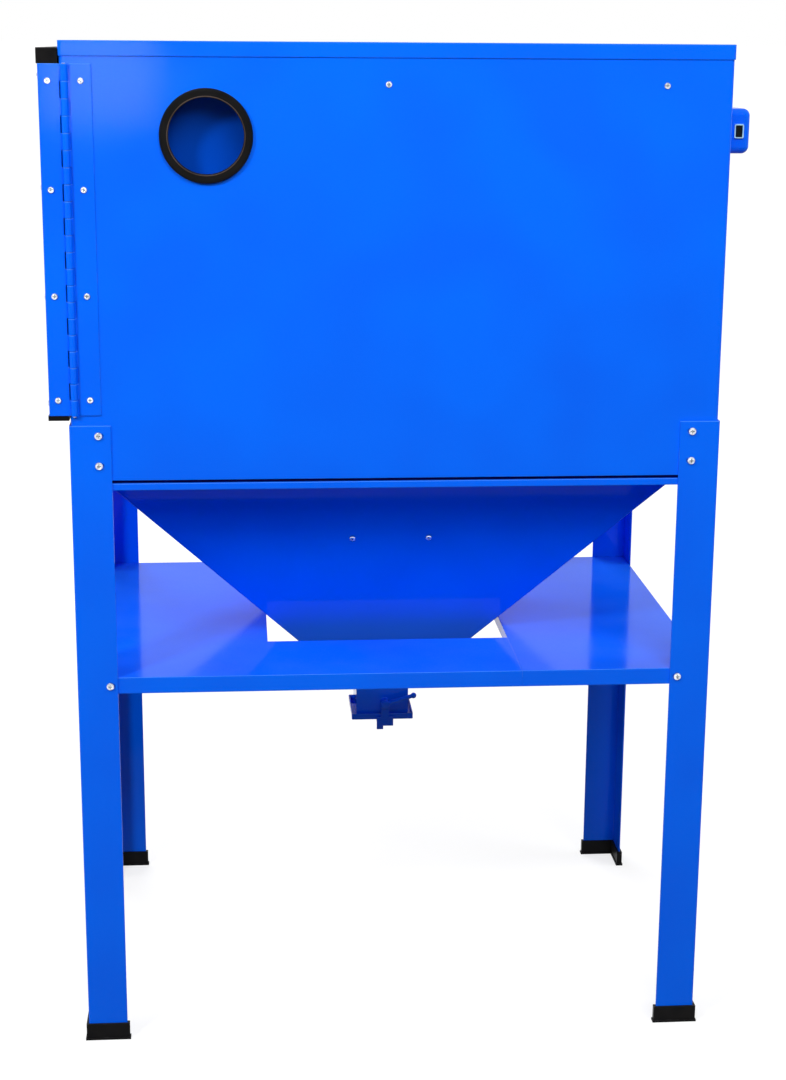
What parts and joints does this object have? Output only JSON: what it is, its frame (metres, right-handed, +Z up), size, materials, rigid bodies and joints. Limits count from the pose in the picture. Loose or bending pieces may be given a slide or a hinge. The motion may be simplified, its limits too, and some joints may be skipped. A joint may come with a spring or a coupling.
{
  "type": "blasting cabinet",
  "caption": "Floor-standing abrasive blasting cabinet: glove box with sloped window, side loading door, hopper with drop tray, and a shelf between four angle legs.",
  "frame": {"origin": "on the floor, midway between the four legs", "axes": "+Z up, +Y to the rear (dust port side), -Y to the operator, +X to the side with the loading door"},
  "size_m": [1.076, 0.7185, 1.54],
  "materials": {
    "blue_paint": "glossy powder coat",
    "black_rubber": "satin moulded rubber",
    "glove_rubber": "matte neoprene",
    "zinc": "bright zinc plate",
    "steel_bar": "raw steel bar",
    "white_metal": "white enamel",
    "lamp_glass": "frosted tube",
    "window_glass": "clear tempered glass",
    "black_plastic": "moulded plastic",
    "brass": "machined brass",
    "cast_alloy": "die-cast",
    "ceramic": "white ceramic",
    "foam": "closed-cell foam"
  },
  "bodies": {
    "cabinet": {"air_inlet": "brass", "blast_gun": "cast_alloy", "body_hinge_leaf": "blue_paint", "dust_baffle": "blue_paint", "dust_port_ring": "black_rubber", "floor_frame": "blue_paint", "foot_front_left": "black_rubber", "foot_front_right": "black_rubber", "foot_rear_left": "black_rubber", "foot_rear_right": "black_rubber", "frame_bolts": "zinc", "frame_nuts": "zinc", "front_panel": "blue_paint", "glove_left": "glove_rubber", "glove_right": "glove_rubber", "glove_rings": "black_plastic", "gun_nozzle": "ceramic", "hinge_pin": "zinc", "hopper_front_slope": "blue_paint", "hopper_gasket": "foam", "hopper_left_slope": "blue_paint", "hopper_rear_slope": "blue_paint", "hopper_right_slope": "blue_paint", "hopper_rim": "blue_paint", "lamp_housing": "white_metal", "lamp_tube": "lamp_glass", "latch_bases": "zinc", "left_side_panel": "blue_paint", "leg_front_left": "blue_paint", "leg_front_right": "blue_paint", "leg_rear_left": "blue_paint", "leg_rear_right": "blue_paint", "outlet_hinge_pin": "zinc", "outlet_throat": "blue_paint", "panel_screws": "zinc", "pickup_tube": "zinc", "rear_panel": "blue_paint", "right_side_frame": "blue_paint", "shelf_main": "blue_paint", "shelf_side": "blue_paint", "switch_box": "blue_paint", "top_cover": "blue_paint", "window_frame": "blue_paint", "window_pane": "window_glass", "window_seal": "black_rubber", "work_grate": "steel_bar"},
    "side_door": {"side_door": "blue_paint", "door_seal": "black_rubber", "door_fasteners": "zinc", "door_hinge_leaf": "blue_paint", "door_handle": "black_plastic", "latch_catches": "zinc"},
    "latch_lever_lower": {"latch_lever_lower": "zinc"},
    "latch_lever_upper": {"latch_lever_upper": "zinc"},
    "latch_loop_lower": {"latch_loop_lower": "zinc"},
    "latch_loop_upper": {"latch_loop_upper": "zinc"},
    "outlet_door": {"outlet_door": "blue_paint"},
    "outlet_latch": {"outlet_latch": "blue_paint"},
    "switch_rocker": {"switch_rocker": "black_plastic"},
    "gun_trigger": {"gun_trigger": "zinc"}
  },
  "joints": [
    {"name": "side_door_swing", "type": "hinge", "parent": "cabinet", "child": "side_door", "pos_m": [0.4765, 0.3485, 1.2565], "axis": [0, 0, 1], "range_deg": [0, 180]},
    {"name": "latch_lever_lower_turn", "type": "hinge", "parent": "cabinet", "child": "latch_lever_lower", "pos_m": [0.452, -0.352, 1.05], "axis": [0, 0, 1], "range_deg": [0, 95]},
    {"name": "latch_loop_lower_turn", "type": "hinge", "parent": "latch_lever_lower", "child": "latch_loop_lower", "pos_m": [0.44, -0.3505, 1.05], "axis": [0, 0, 1], "range_deg": [-100, 0]},
    {"name": "latch_lever_upper_turn", "type": "hinge", "parent": "cabinet", "child": "latch_lever_upper", "pos_m": [0.452, -0.352, 1.165], "axis": [0, 0, 1], "range_deg": [0, 95]},
    {"name": "latch_loop_upper_turn", "type": "hinge", "parent": "latch_lever_upper", "child": "latch_loop_upper", "pos_m": [0.44, -0.3505, 1.165], "axis": [0, 0, 1], "range_deg": [-100, 0]},
    {"name": "outlet_door_drop", "type": "hinge", "parent": "cabinet", "child": "outlet_door", "pos_m": [0, -0.057, 0.441], "axis": [1, 0, 0], "range_deg": [-90, 0]},
    {"name": "outlet_latch_turn", "type": "hinge", "parent": "cabinet", "child": "outlet_latch", "pos_m": [-0.004, 0.057, 0.452], "axis": [0, 1, 0], "range_deg": [-60, 0]},
    {"name": "switch_rocker_tilt", "type": "hinge", "parent": "cabinet", "child": "switch_rocker", "pos_m": [-0.5085, 0.28, 1.415], "axis": [1, 0, 0], "range_deg": [-6, 6]},
    {"name": "gun_trigger_pull", "type": "hinge", "parent": "cabinet", "child": "gun_trigger", "pos_m": [0.074, -0.041, 0.9283], "axis": [0, 0, 1], "range_deg": [-10, 0], "stiffness_Nm_per_rad": 0.5, "springref_deg": 11.46}
  ],
  "couplings": [
    {"joint": "latch_lever_lower_turn", "follows": "side_door_swing", "ratio": 0.5277},
    {"joint": "latch_loop_lower_turn", "follows": "side_door_swing", "ratio": -0.5555},
    {"joint": "latch_lever_upper_turn", "follows": "side_door_swing", "ratio": 0.5277},
    {"joint": "latch_loop_upper_turn", "follows": "side_door_swing", "ratio": -0.5555},
    {"joint": "outlet_latch_turn", "follows": "outlet_door_drop", "ratio": 0.6666}
  ]
}
